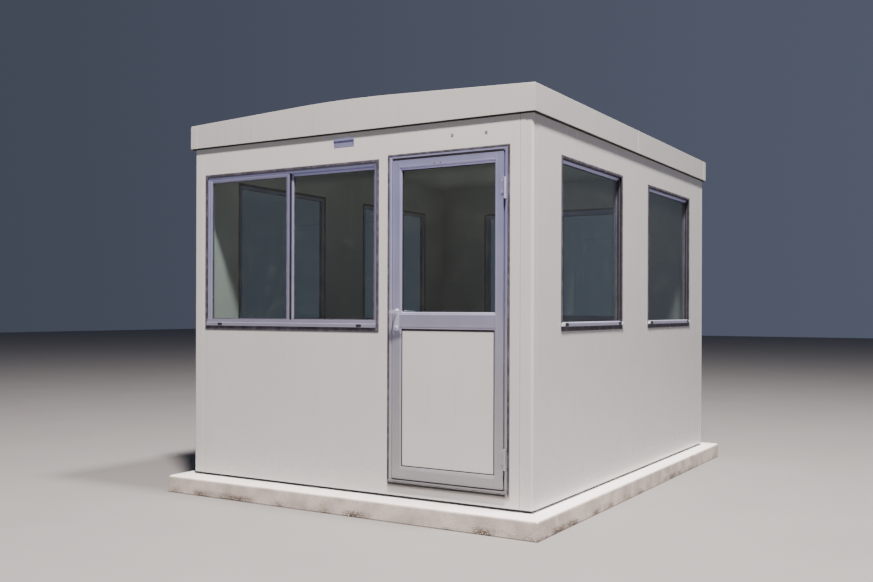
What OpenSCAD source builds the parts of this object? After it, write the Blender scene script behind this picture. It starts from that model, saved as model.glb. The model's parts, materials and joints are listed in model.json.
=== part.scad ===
// Guard booth with moulded glass-fibre panels on a concrete plinth.
// One leaf door and a two-pane sliding window at the front, fixed side windows,
// and a shallow pitched roof with a rolled ridge behind a deep fascia.
// The front faces -Y, +X is to its right, and the origin is under the middle of the plinth.

/* [Body] */
// Width over the outer wall faces
body_w = 2700; // [2500:10:3200]
// Depth over the outer wall faces
body_d = 3500; // [3100:10:4200]
// Height of the wall panels
wall_h = 2400; // [2340:10:2700]
// Thickness of the wall panels
wall_t = 50; // [44:1:70]
// Face width of a corner post
post_w = 85; // [70:1:90]
// Rounding of the outer edge of a corner post
post_r = 18; // [6:1:24]
// Bevel of a post beside a wall panel
post_bevel = 3; // [1:0.5:5]

/* [Plinth and floor] */
// Height of the concrete plinth
plinth_h = 120; // [60:5:250]
// Ledge of the plinth in front of and behind the walls
ledge_front = 150; // [60:5:250]
// Ledge of the plinth beside the side walls
ledge_side = 105; // [60:5:250]
// Bevel along the top edge of the plinth
plinth_bevel = 10; // [3:1:20]
// Thickness of the dark board under the walls
base_t = 18; // [10:1:30]
// How far the board sits back from the wall faces
base_inset = 25; // [10:1:35]
// Thickness of the floor, level with the foot of the doorway
floor_t = 53; // [40:1:90]

/* [Roof] */
// Overhang of the fascia beyond the walls
overhang = 20; // [16:1:60]
// Height of the fascia at the eaves
fascia_h = 164; // [120:1:220]
// Thickness of the fascia sheet
fascia_t = 6; // [3:0.5:8]
// Thickness of the fascia's turned top edge
flange_t = 4; // [2:0.5:6]
// Width of the fascia's turned top edge
flange_w = 34; // [20:1:60]
// Width of the fascia's turned bottom edge
lip_w = 10; // [4:1:12]
// Thickness of the ceiling panel
ceiling_t = 20; // [12:1:40]
// Thickness of the roof panels at the eaves
eaves_t = 70; // [40:1:120]
// Slope of the roof in degrees
roof_slope = 2.2; // [1:0.1:6]
// Width of the rolled ridge
ridge_w = 800; // [200:20:1200]
// Width of the cover strip over the roof joint
cap_w = 60; // [40:1:100]
// Gap between the two halves of the roof and of a side fascia
roof_gap = 3; // [2:0.5:8]
// Leg of a fascia corner cover
cover_w = 60; // [30:1:90]
// Thickness of a fascia corner cover
cover_t = 2; // [1:0.5:4]

/* [Windows] */
// Distance from the left end of the front wall to its window opening
front_win_x = 105; // [96:1:160]
// Width of the wall between the front window and the doorway
window_pier_w = 68; // [30:2:400]
// Height of the front window opening's foot above the foot of the wall
front_win_sill = 1027; // [800:1:1200]
// Height of the front window opening
front_win_h = 1107; // [900:1:1200]
// Width of a side window opening
side_win_w = 1075; // [700:5:1150]
// Width of the wall between two side windows
side_pier_w = 546; // [300:2:700]
// Height of a side window opening's foot above the foot of the wall
side_win_sill = 1040; // [800:1:1200]
// Height of a side window opening
side_win_h = 1092; // [900:1:1180]
// Width of the back window opening
back_win_w = 1650; // [1000:5:1900]
// Width of a window's rubber surround at its sides and top
rubber_w = 20; // [12:1:26]
// Height of a window's rubber surround under its frame
rubber_foot = 30; // [16:1:40]
// How far the rubber surround stands proud of the wall
rubber_proud = 3; // [1:0.5:5]
// Face width of a sliding window's frame
frame_w = 18; // [14:1:30]
// Depth of a sliding window's frame behind the wall face
slider_recess = 3; // [0:0.5:4]
// Face width of a fixed window's frame
fixed_frame_w = 20; // [14:1:34]
// Depth of a fixed window's frame behind the wall face
fixed_recess = 15; // [6:1:18]
// How far a window's sill stands out from the wall face
sill_out = 12; // [6:1:20]
// Slope of the sills' tops in degrees
sill_slope = 15; // [5:1:20]
// Height of a sliding window's sill, up to the edge that hides the sashes' feet
slider_sill_h = 46; // [36:1:60]
// Thickness of that edge
edge_t = 5; // [3:0.5:5]
// Height of the nose of a sliding window's sill
nose_h = 24; // [18:1:30]
// Width of a drain slot in a sill's nose
drain_w = 36; // [20:1:50]
// Height of a drain slot
drain_h = 11; // [6:1:12]
// Depth of a drain slot
drain_depth = 8; // [4:1:8]
// Distance of a drain slot's middle from the inner side of the frame
drain_x = 112; // [60:1:200]
// Height of a fixed window's sloping sill
fixed_sill_h = 28; // [20:1:40]
// Stile width of a sliding sash
sash_w = 20; // [16:1:34]
// Width of the outer sash's stile where the two sashes meet
outer_meeting_w = 24; // [16:1:40]
// Width of the inner sash's stile where the two sashes meet
meeting_w = 46; // [20:1:60]
// Bottom rail height of a sliding sash
sash_bottom = 30; // [20:1:50]
// Depth of a sliding sash
sash_t = 19; // [16:1:20]
// Gap between the two sliding tracks
track_gap = 2; // [1:0.5:3]
// Thickness of a window pane
pane_t = 6; // [4:1:10]

/* [Door] */
// Distance from the right end of the front wall to the doorway
door_x = 150; // [130:1:300]
// Width of the doorway in the wall
door_w = 868; // [760:1:880]
// Height of the doorway in the wall
door_h = 2100; // [1950:5:2180]
// Width of the rubber seal round the door frame
seal_w = 16; // [10:1:24]
// How far the door frame stands proud of the wall
frame_proud = 5; // [2:0.5:10]
// Face width of the door frame
jamb_w = 18; // [16:1:40]
// Face height of the threshold
threshold_h = 31; // [8:1:40]
// How far the threshold's nose stands out from the door frame
step_out = 15; // [6:1:24]
// Height of the threshold's nose
step_h = 10; // [8:1:14]
// Thickness of the stop behind the leaf
stop_t = 12; // [8:1:14]
// How far the stop reaches behind the leaf
stop_lap = 8; // [6:1:12]
// Running gap round the leaf
leaf_gap = 7; // [6.5:0.5:9]
// Thickness of the leaf
leaf_t = 38; // [32:1:40]
// How far the leaf stands proud of the door frame
leaf_proud = 2; // [0:0.5:5]
// Face width of the leaf's stiles
stile_w = 52; // [48:1:90]
// Height of the top rail
top_rail = 50; // [40:1:120]
// Height of the rail between the glass and the panel
mid_rail = 84; // [60:1:160]
// Height of the bottom rail
bottom_rail = 68; // [60:1:200]
// Height of the opening for the lower panel
panel_h = 888; // [600:1:1000]
// Depth of the lower panel behind the face of the leaf
panel_recess = 13; // [6:1:16]
// Thickness of the lower panel
panel_t = 16; // [8:1:18]
// Width of the beads round the glass and the lower panel
bead_w = 11; // [6:1:16]
// Depth of a bead's face behind the face of the leaf
bead_recess = 4; // [2:0.5:8]
// Depth of the door's glass behind the face of the leaf
glass_recess = 20; // [14:1:24]

/* [Hinges] */
// Height of a whole hinge
hinge_h = 126; // [100:1:180]
// Height of the lower knuckle, on the frame
lower_knuckle = 28; // [24:1:60]
// Radius of a knuckle
knuckle_r = 7; // [6:0.5:9]
// Radius of the hinge pin
pin_r = 4; // [3:0.5:5]
// Radial clearance of the pin
pin_clear = 0.08; // [0.02:0.01:0.1]
// Distance of the upper hinge's middle from the leaf's top edge
hinge_edge = 218; // [120:1:400]
// Distance of the lower hinge's middle from the leaf's bottom edge
hinge_foot = 180; // [120:1:400]
// How far the hinge pin stands in front of the door frame
hinge_out = 14; // [13:0.5:20]
// Thickness of the hinge plates
hinge_plate_t = 3; // [2:0.5:3]

/* [Handle] */
// Height of the handle above the foot of the leaf
handle_z = 1051; // [900:1:1150]
// Distance of the spindle from the leaf's lock edge
backset = 31; // [30:1:32]
// Radius of the spindle
spindle_r = 8; // [6:0.5:9]
// Radial clearance of the spindle in its plates
spindle_clear = 0.08; // [0.02:0.01:0.1]
// Width of a lock plate
plate_w = 40; // [28:1:42]
// Height of a lock plate
plate_h = 142; // [130:1:240]
// Thickness of a lock plate
plate_t = 4; // [3:0.5:6]
// Distance of the key cylinder below the spindle
key_drop = 96; // [60:1:96]
// Radius of the key cylinder
key_r = 9; // [7:0.5:11]
// Length of the lever from its hub to its tip
lever_l = 78; // [60:1:120]
// Height of the lever's bar at its hub
lever_h = 20; // [16:1:20]
// Height of the lever's bar at its tip
lever_tip_h = 15; // [10:1:16]
// Thickness of the lever's bar
lever_t = 12; // [8:1:16]
// Distance of the lever from the face of the leaf
lever_out = 54; // [36:1:70]
// How far the lever's tip curves back to the door
lever_bow = 8; // [2:1:14]

/* [Hidden] */
$fn = 48;
wall_z = plinth_h + base_t;
cut = 1;

// Heights above the foot of the wall
roof_v = wall_h + ceiling_t;
eaves_v = roof_v + eaves_t;
fascia_v = eaves_v + flange_t - fascia_h;

// Outline of the roof seen from the front
web_x = body_w / 2 + overhang;
roof_x = web_x - fascia_t;
roof_y = body_d / 2 + overhang - fascia_t;
ridge_r = ridge_w / 2 / sin(roof_slope);
roof_steps = 12;

// Doorway, measured from the left end of the front wall, and the window beside it
door_u0 = body_w - door_x - door_w;
door_u1 = body_w - door_x;
front_win_w = door_u0 - window_pier_w - front_win_x;
frame_u0 = door_u0 + seal_w;
frame_u1 = door_u1 - seal_w;
frame_v0 = floor_t + seal_w;
frame_v1 = floor_t + door_h - seal_w;
leaf_u0 = frame_u0 + jamb_w + leaf_gap;
leaf_u1 = frame_u1 - jamb_w - leaf_gap;
leaf_v0 = frame_v0 + threshold_h + leaf_gap;
leaf_v1 = frame_v1 - jamb_w - leaf_gap;
leaf_face = -frame_proud - leaf_proud;

// Openings in the leaf
light_u0 = leaf_u0 + stile_w;
light_u1 = leaf_u1 - stile_w;
panel_v0 = leaf_v0 + bottom_rail;
panel_v1 = panel_v0 + panel_h;
glass_v0 = panel_v1 + mid_rail;
glass_v1 = leaf_v1 - top_rail;

// Hinge axis, on the middle of the jamb's face
hinge_u = frame_u1 - jamb_w / 2;
hinge_w = -frame_proud - hinge_out;
hinge_vs = [leaf_v0 + hinge_foot, leaf_v1 - hinge_edge];
knuckle_gap = 1;

// Spindle
spindle_u = leaf_u0 + backset;
spindle_v = leaf_v0 + handle_z;

// A side's own frame: u along the wall from its left end seen from outside,
// then depth inwards from the outer face, then height above the foot of the wall.
module on_side(turn, span, depth)
  rotate([0, 0, turn]) translate([-span / 2, -depth / 2, wall_z]) children();
module on_front() on_side(0, body_w, body_d) children();
module on_right() on_side(90, body_d, body_w) children();
module on_back() on_side(180, body_w, body_d) children();
module on_left() on_side(-90, body_d, body_w) children();

// A block from its low and high corners
module block(low, high) translate(low) cube(high - low);

// A rectangular ring seen from the front: its outer corners in u and v,
// the widths of its sides, bottom and top, and its two depths
module ring(u, v, sides, bottom, top, depth)
  difference() {
    block([u[0], depth[0], v[0]], [u[1], depth[1], v[1]]);
    block([u[0] + sides, depth[0] - cut, v[0] + bottom],
          [u[1] - sides, depth[1] + cut, v[1] - top]);
  }

// Plinth, board and floor
module plinth()
  color("gainsboro") {
    px = body_w / 2 + ledge_side;
    py = body_d / 2 + ledge_front;
    b = plinth_bevel;
    difference() {
      block([-px, -py, 0], [px, py, plinth_h]);
      for (s = [-1, 1]) {
        translate([0, s * py, plinth_h]) rotate([45, 0, 0])
          cube([2 * px + 2 * b, b * sqrt(2), b * sqrt(2)], center = true);
        translate([s * px, 0, plinth_h]) rotate([0, 45, 0])
          cube([b * sqrt(2), 2 * py + 2 * b, b * sqrt(2)], center = true);
      }
    }
  }

module base_board()
  color("dimgray") {
    bx = body_w / 2 - base_inset;
    by = body_d / 2 - base_inset;
    block([-bx, -by, plinth_h], [bx, by, wall_z]);
  }

module floor_deck()
  color("gray") {
    fx = body_w / 2 - wall_t;
    fy = body_d / 2 - wall_t;
    block([-fx, -fy, wall_z], [fx, fy, wall_z + floor_t]);
  }

// Corner posts and wall panels
module corner_post()
  color("gainsboro") linear_extrude(wall_h) difference() {
    union() {
      translate([post_r, 0]) square([post_w - post_r, wall_t]);
      translate([0, post_r]) square([post_r, wall_t - post_r]);
      translate([post_r, post_r]) circle(post_r);
    }
    translate([post_w, 0]) rotate(45)
      square(post_bevel * sqrt(2), center = true);
    translate([0, wall_t]) rotate(45)
      square(post_bevel * sqrt(2), center = true);
  }
module post_pair_side(turn, flip)
  rotate([0, 0, turn]) mirror([flip, 0, 0]) on_front() corner_post();
module corner_post_front_left() post_pair_side(0, 0);
module corner_post_front_right() post_pair_side(0, 1);
module corner_post_back_right() post_pair_side(180, 0);
module corner_post_back_left() post_pair_side(180, 1);

module wall_block(u0, u1, v0, v1) block([u0, 0, v0], [u1, wall_t, v1]);
module window_hole(u0, width, sill, height)
  block([u0, -cut, sill], [u0 + width, wall_t + cut, sill + height]);

module front_wall()
  color("gainsboro") on_front() difference() {
    wall_block(post_w, door_u0, 0, wall_h);
    window_hole(front_win_x, front_win_w, front_win_sill, front_win_h);
  }
module front_wall_pier()
  color("gainsboro") on_front() wall_block(door_u1, body_w - post_w, 0, wall_h);
module front_wall_head()
  color("gainsboro") on_front() wall_block(door_u0, door_u1, floor_t + door_h, wall_h);
module front_wall_foot()
  color("gainsboro") on_front() wall_block(door_u0, door_u1, 0, floor_t);

side_us = [for (s = [-1, 1])
  body_d / 2 + s * (side_pier_w + side_win_w) / 2 - side_win_w / 2];
module side_wall()
  color("gainsboro") difference() {
    wall_block(wall_t, body_d - wall_t, 0, wall_h);
    for (u = side_us) window_hole(u, side_win_w, side_win_sill, side_win_h);
  }
module right_wall() on_right() side_wall();
module left_wall() on_left() side_wall();

back_u = (body_w - back_win_w) / 2;
module back_wall()
  color("gainsboro") on_back() difference() {
    wall_block(post_w, body_w - post_w, 0, wall_h);
    window_hole(back_u, back_win_w, side_win_sill, side_win_h);
  }

// Ceiling and roof
module ceiling_panel()
  color("whitesmoke") {
    cx = body_w / 2 - wall_t / 2;
    cy = body_d / 2 - wall_t / 2;
    block([-cx, -cy, wall_z + wall_h], [cx, cy, wall_z + roof_v]);
  }

// Height of the roof's top above its eaves, x from the middle
function roof_rise(x) =
  let (straight = (roof_x - ridge_w / 2) * tan(roof_slope))
  abs(x) >= ridge_w / 2
    ? (roof_x - abs(x)) * tan(roof_slope)
    : straight + sqrt(pow(ridge_r, 2) - pow(x, 2)) - ridge_r * cos(roof_slope);
ridge_xs = [for (i = [0:roof_steps]) ridge_w * (0.5 - i / roof_steps)];
function roof_line(half_w, lift) = concat(
  [[half_w, roof_rise(half_w) + lift]],
  [for (x = ridge_xs) [x, roof_rise(x) + lift]],
  [[-half_w, roof_rise(half_w) + lift]]);

// A profile seen from the front, drawn above the eaves, between two depths
module roof_slice(y0, y1)
  translate([0, y1, wall_z + eaves_v]) rotate([90, 0, 0])
    linear_extrude(y1 - y0) children();

module roof_half()
  color("gainsboro") roof_slice(-roof_y, -roof_gap / 2)
    polygon(concat(roof_line(roof_x, 0), [[-roof_x, -eaves_t], [roof_x, -eaves_t]]));
module roof_front() roof_half();
module roof_back() rotate([0, 0, 180]) roof_half();

module band(half_w, thick)
  polygon(concat(roof_line(half_w, thick),
    [for (p = roof_line(half_w, 0)) [-p[0], p[1]]]));
module roof_joint_cap()
  color("silver") roof_slice(-cap_w / 2, cap_w / 2)
    band(roof_x - flange_w - cover_t, flange_t);

module gable_fascia()
  color("gainsboro") {
    roof_slice(-roof_y - fascia_t, -roof_y)
      polygon(concat(roof_line(web_x, flange_t),
        [[-web_x, flange_t - fascia_h], [web_x, flange_t - fascia_h]]));
    roof_slice(-roof_y - fascia_t, -roof_y + flange_w)
      band(web_x, flange_t);
    translate([0, 0, wall_z + fascia_v])
      block([-roof_x, -roof_y - fascia_t, 0], [roof_x, -roof_y + lip_w, flange_t]);
  }
module fascia_front() gable_fascia();
module fascia_back() rotate([0, 0, 180]) gable_fascia();

module eaves_profile()
  polygon([
    [web_x, roof_rise(web_x) + flange_t],
    [roof_x - flange_w, roof_rise(roof_x - flange_w) + flange_t],
    [roof_x - flange_w, roof_rise(roof_x - flange_w)],
    [roof_x, 0],
    [roof_x, 2 * flange_t - fascia_h],
    [roof_x - lip_w, 2 * flange_t - fascia_h],
    [roof_x - lip_w, flange_t - fascia_h],
    [web_x, flange_t - fascia_h]]);
module eaves_web()
  polygon([[roof_x, 0], [web_x, roof_rise(web_x)],
           [web_x, flange_t - fascia_h], [roof_x, flange_t - fascia_h]]);
module eaves_fascia()
  color("gainsboro") {
    for (flip = [0, 1]) mirror([0, flip, 0]) {
      roof_slice(-roof_y + flange_w, -roof_gap / 2) eaves_profile();
      roof_slice(-roof_y, -roof_gap / 2) eaves_web();
    }
  }
module fascia_right() eaves_fascia();
module fascia_left() mirror([1, 0, 0]) eaves_fascia();

module fascia_cover()
  color("whitesmoke") translate([0, 0, wall_z + fascia_v]) linear_extrude(fascia_h - 2 * flange_t)
    difference() {
      translate([-web_x - cover_t, -roof_y - fascia_t - cover_t]) square(cover_w);
      translate([-web_x, -roof_y - fascia_t]) square(cover_w);
    }
module fascia_corners()
  for (turn = [0, 180]) rotate([0, 0, turn]) {
    fascia_cover();
    mirror([1, 0, 0]) fascia_cover();
  }

// Rubber surrounds
module surround(u0, width, sill, height)
  ring([u0, u0 + width], [sill, sill + height],
       rubber_w, rubber_foot, rubber_w, [-rubber_proud, wall_t]);
module window_rubbers()
  color("darkslategray") {
    on_front() surround(front_win_x, front_win_w, front_win_sill, front_win_h);
    on_back() surround(back_u, back_win_w, side_win_sill, side_win_h);
    for (u = side_us) {
      on_right() surround(u, side_win_w, side_win_sill, side_win_h);
      on_left() surround(u, side_win_w, side_win_sill, side_win_h);
    }
  }

// Where a window's frame lies inside its surround
function frame_u(u0, width) = [u0 + rubber_w, u0 + width - rubber_w];
function frame_v(sill, height) = [sill + rubber_foot, sill + height - rubber_w];

// A bar from u[0] to u[1] with its profile drawn in depth and in height above its foot
module sill_bar(u, foot)
  translate([u[0], 0, foot]) rotate([90, 0, 90]) linear_extrude(u[1] - u[0]) children();
function sill_fall(depth) = depth * tan(sill_slope);

// A slot with round ends, cut in from the face of a sill's nose
module drain_slot(u, v)
  translate([u, drain_depth - sill_out, v]) rotate([90, 0, 0]) {
    r = drain_h / 2;
    half = drain_w / 2 - r;
    for (s = [-half, half]) translate([s, 0, 0]) cylinder(r = r, h = drain_depth + cut);
    translate([-half, -r, 0]) cube([2 * half, drain_h, drain_depth + cut]);
  }

// Sliding windows: frame, outer sash on the left, inner sash on the right.
// The sill has a nose with drain slots and, behind it, an edge that hides the sashes' feet.
module slider_sill() {
  edge_w = slider_recess - edge_t;
  polygon([
    [-sill_out, 0], [-sill_out, nose_h - sill_fall(sill_out + edge_w)], [edge_w, nose_h],
    [edge_w, slider_sill_h], [slider_recess, slider_sill_h], [slider_recess, 0]]);
}
module slider_frame(u0, width, sill, height)
  color("silver") difference() {
    u = frame_u(u0, width);
    v = frame_v(sill, height);
    union() {
      ring(u, v, frame_w, frame_w, frame_w, [slider_recess, wall_t]);
      sill_bar(u, v[0]) slider_sill();
    }
    for (s = [u[0] + frame_w + drain_x, u[1] - frame_w - drain_x])
      drain_slot(s, v[0] + nose_h / 2);
  }
function slider_u(u0, width) = let (u = frame_u(u0, width)) [u[0] + frame_w, u[1] - frame_w];
function slider_v(sill, height) = let (v = frame_v(sill, height)) [v[0] + frame_w, v[1] - frame_w];
outer_w = slider_recess + 1;
inner_w = outer_w + sash_t + track_gap;
track_w = [[outer_w, outer_w + sash_t], [inner_w, inner_w + sash_t]];
function sash_u(u0, width, i) =
  let (inner = slider_u(u0, width), mid = (inner[0] + inner[1]) / 2)
  i == 0 ? [inner[0], mid + outer_meeting_w / 2] : [mid - outer_meeting_w / 2, inner[1]];
left_stile = [sash_w, meeting_w];
right_stile = [outer_meeting_w, sash_w];
module sash_opening(u0, width, sill, height, i, w0, w1) {
  u = sash_u(u0, width, i);
  v = slider_v(sill, height);
  block([u[0] + left_stile[i], w0, v[0] + sash_bottom],
        [u[1] - right_stile[i], w1, v[1] - sash_w]);
}
module sash(u0, width, sill, height, i)
  color("silver") difference() {
    u = sash_u(u0, width, i);
    v = slider_v(sill, height);
    block([u[0], track_w[i][0], v[0]], [u[1], track_w[i][1], v[1]]);
    sash_opening(u0, width, sill, height, i, track_w[i][0] - cut, track_w[i][1] + cut);
  }
module sash_glass(u0, width, sill, height, i)
  color("lightsteelblue", 0.5) {
    w = (track_w[i][0] + track_w[i][1]) / 2;
    sash_opening(u0, width, sill, height, i, w - pane_t / 2, w + pane_t / 2);
  }
module front_window_frame()
  on_front() slider_frame(front_win_x, front_win_w, front_win_sill, front_win_h);
module front_left_sash()
  on_front() sash(front_win_x, front_win_w, front_win_sill, front_win_h, 0);
module front_right_sash()
  on_front() sash(front_win_x, front_win_w, front_win_sill, front_win_h, 1);
module front_window_glass()
  on_front() for (i = [0, 1])
    sash_glass(front_win_x, front_win_w, front_win_sill, front_win_h, i);
module back_window_frame()
  on_back() slider_frame(back_u, back_win_w, side_win_sill, side_win_h);
module back_window_sashes()
  on_back() for (i = [0, 1]) sash(back_u, back_win_w, side_win_sill, side_win_h, i);
module back_window_glass()
  on_back() for (i = [0, 1]) sash_glass(back_u, back_win_w, side_win_sill, side_win_h, i);

// Fixed side windows, set deep in the wall behind a sloping sill
module fixed_sill()
  polygon([
    [-sill_out, 0], [-sill_out, fixed_sill_h - sill_fall(sill_out + fixed_recess)],
    [fixed_recess, fixed_sill_h], [fixed_recess, 0]]);
module fixed_frame(u0)
  color("silver") {
    u = frame_u(u0, side_win_w);
    v = frame_v(side_win_sill, side_win_h);
    ring(u, v, fixed_frame_w, fixed_frame_w, fixed_frame_w, [fixed_recess, wall_t]);
    sill_bar(u, v[0]) fixed_sill();
  }
module fixed_glass(u0)
  color("lightsteelblue", 0.5) {
    u = frame_u(u0, side_win_w);
    v = frame_v(side_win_sill, side_win_h);
    w = (fixed_recess + wall_t) / 2;
    block([u[0] + fixed_frame_w, w - pane_t / 2, v[0] + fixed_frame_w],
          [u[1] - fixed_frame_w, w + pane_t / 2, v[1] - fixed_frame_w]);
  }
module right_window_frames() on_right() for (u = side_us) fixed_frame(u);
module right_window_glass() on_right() for (u = side_us) fixed_glass(u);
module left_window_frames() on_left() for (u = side_us) fixed_frame(u);
module left_window_glass() on_left() for (u = side_us) fixed_glass(u);

// Door frame with its stop, and the seal round it
module door_seal()
  color("darkslategray") on_front()
    ring([door_u0, door_u1], [floor_t, floor_t + door_h], seal_w, seal_w, seal_w,
         [-rubber_proud, wall_t]);
module door_frame()
  color("silver") on_front() {
    u = [frame_u0, frame_u1];
    v = [frame_v0, frame_v1];
    ring(u, v, jamb_w, threshold_h, jamb_w, [-frame_proud, wall_t]);
    lap = leaf_gap + stop_lap;
    ring(u, v, jamb_w + lap, threshold_h + lap, jamb_w + lap, [wall_t - stop_t, wall_t]);
    sill_bar(u, frame_v0 + threshold_h - step_h) polygon([
      [-frame_proud - step_out, 0], [-frame_proud - step_out, step_h - sill_fall(step_out)],
      [-frame_proud, step_h], [-frame_proud, 0]]);
  }

// Door leaf with its glass, lower panel and beads
module door_leaf()
  color("silver") on_front() difference() {
    block([leaf_u0, leaf_face, leaf_v0], [leaf_u1, leaf_face + leaf_t, leaf_v1]);
    block([light_u0, leaf_face - cut, panel_v0], [light_u1, leaf_face + leaf_t + cut, panel_v1]);
    block([light_u0, leaf_face - cut, glass_v0], [light_u1, leaf_face + leaf_t + cut, glass_v1]);
    translate([spindle_u, leaf_face + leaf_t / 2, spindle_v]) rotate([90, 0, 0])
      cylinder(r = spindle_r + 2, h = leaf_t + 2 * cut, center = true);
  }
module door_panel()
  color("gainsboro") on_front()
    block([light_u0, leaf_face + panel_recess, panel_v0],
          [light_u1, leaf_face + panel_recess + panel_t, panel_v1]);
module door_glass()
  color("lightsteelblue", 0.5) on_front()
    block([light_u0, leaf_face + glass_recess, glass_v0],
          [light_u1, leaf_face + glass_recess + pane_t, glass_v1]);
module bead_ring(v, back)
  ring([light_u0, light_u1], v, bead_w, bead_w, bead_w,
       [leaf_face + bead_recess, leaf_face + back]);
module door_beads()
  color("silver") on_front() {
    bead_ring([glass_v0, glass_v1], glass_recess);
    bead_ring([panel_v0, panel_v1], panel_recess);
  }

// Lift-off hinges: the pin stands in the frame's knuckle, the leaf's knuckle turns on it.
// In a hinge's own frame the pin is the z axis and -x points to the leaf.
plate_back = hinge_out;
leaf_front = hinge_out - leaf_proud;
module hinge_frame_half()
  color("silver") {
    cylinder(r = knuckle_r, h = lower_knuckle);
    cylinder(r = pin_r, h = hinge_h - 4);
    block([-pin_r, 0, 0], [pin_r, plate_back - hinge_plate_t / 2, lower_knuckle]);
    block([-jamb_w / 2, plate_back - hinge_plate_t, 0], [jamb_w / 2, plate_back, hinge_h]);
  }
module hinge_leaf_half()
  color("silver") translate([0, 0, lower_knuckle + knuckle_gap]) {
    reach = jamb_w / 2 + leaf_gap + 14;
    t = hinge_plate_t;
    h = hinge_h - lower_knuckle - knuckle_gap;
    difference() {
      union() {
        cylinder(r = knuckle_r, h = h);
        linear_extrude(h) polygon([
          [0, knuckle_r - 2], [-11, knuckle_r - 1], [-16, leaf_front - t], [-reach, leaf_front - t],
          [-reach, leaf_front], [-14, leaf_front], [-10, knuckle_r + 2], [0, knuckle_r + 2]]);
      }
      translate([0, 0, -cut]) cylinder(r = pin_r + pin_clear, h = h - 2);
    }
  }
module at_hinges()
  on_front() for (v = hinge_vs) translate([hinge_u, hinge_w, v - hinge_h / 2]) children();
module hinge_frame_halves() at_hinges() hinge_frame_half();
module hinge_leaf_halves() at_hinges() hinge_leaf_half();

// Lock plates on both faces of the leaf, with a key cylinder below the spindle
module lock_plate()
  difference() {
    union() {
      for (z = [-1, 1]) translate([0, 0, -key_drop / 2 + z * (plate_h - plate_w) / 2])
        rotate([90, 0, 0]) cylinder(r = plate_w / 2, h = plate_t);
      block([-plate_w / 2, -plate_t, -key_drop / 2 - (plate_h - plate_w) / 2],
            [plate_w / 2, 0, -key_drop / 2 + (plate_h - plate_w) / 2]);
      rotate([90, 0, 0]) cylinder(r = spindle_r + 5, h = plate_t + 5);
      translate([0, 0, -key_drop]) rotate([90, 0, 0]) cylinder(r = key_r, h = plate_t + 3);
    }
    translate([0, cut, 0]) rotate([90, 0, 0])
      cylinder(r = spindle_r + spindle_clear, h = plate_t + 5 + 2 * cut);
  }
module at_spindle() on_front() translate([spindle_u, leaf_face, spindle_v]) children();
module both_faces() {
  children();
  translate([0, leaf_t, 0]) mirror([0, 1, 0]) children();
}
module lock_plates() color("silver") at_spindle() both_faces() lock_plate();

// The lever outside and the one inside share the spindle. A lever's bar tapers
// to a round tip and curves back to the door, and both outlines cut it.
module lever_outline() {
  tip_r = lever_tip_h / 2;
  polygon([[0, -lever_h / 2], [lever_l - tip_r, -tip_r],
           [lever_l - tip_r, tip_r], [0, lever_h / 2]]);
  translate([lever_l - tip_r, 0]) circle(tip_r);
}
module lever_curve() {
  bow_r = pow(lever_l, 2) / 2 / lever_bow;
  translate([0, bow_r - lever_out - lever_t]) difference() {
    circle(bow_r, $fn = 360);
    circle(bow_r - lever_t, $fn = 360);
  }
}
module lever() {
  translate([0, -lever_out, 0]) rotate([90, 0, 0]) cylinder(r = lever_h / 2 + 2, h = lever_t);
  intersection() {
    translate([0, lever_bow - lever_out + cut, 0]) rotate([90, 0, 0])
      linear_extrude(lever_t + lever_bow + 2 * cut) lever_outline();
    translate([0, 0, -lever_h]) linear_extrude(2 * lever_h) lever_curve();
  }
}
module door_handle()
  color("whitesmoke") at_spindle() {
    translate([0, leaf_t / 2, 0]) rotate([90, 0, 0])
      cylinder(r = spindle_r, h = leaf_t + 2 * lever_out + lever_t, center = true);
    both_faces() lever();
  }

plinth();
base_board();
floor_deck();
corner_post_front_left();
corner_post_front_right();
corner_post_back_left();
corner_post_back_right();
front_wall();
front_wall_pier();
front_wall_head();
front_wall_foot();
right_wall();
left_wall();
back_wall();
ceiling_panel();
roof_front();
roof_back();
roof_joint_cap();
fascia_front();
fascia_back();
fascia_right();
fascia_left();
fascia_corners();
window_rubbers();
front_window_frame();
front_left_sash();
front_right_sash();
front_window_glass();
back_window_frame();
back_window_sashes();
back_window_glass();
right_window_frames();
right_window_glass();
left_window_frames();
left_window_glass();
door_frame();
door_seal();
door_leaf();
door_glass();
door_panel();
door_beads();
hinge_frame_halves();
hinge_leaf_halves();
lock_plates();
door_handle();
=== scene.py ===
"""A security guard booth, dressed for its portrait: finishes, small fittings, floor, light and camera.

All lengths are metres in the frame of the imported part: the front faces -Y and +X is to its right.
"""

import json
import math

import bmesh
import bpy
from mathutils import Matrix, Vector


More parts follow.
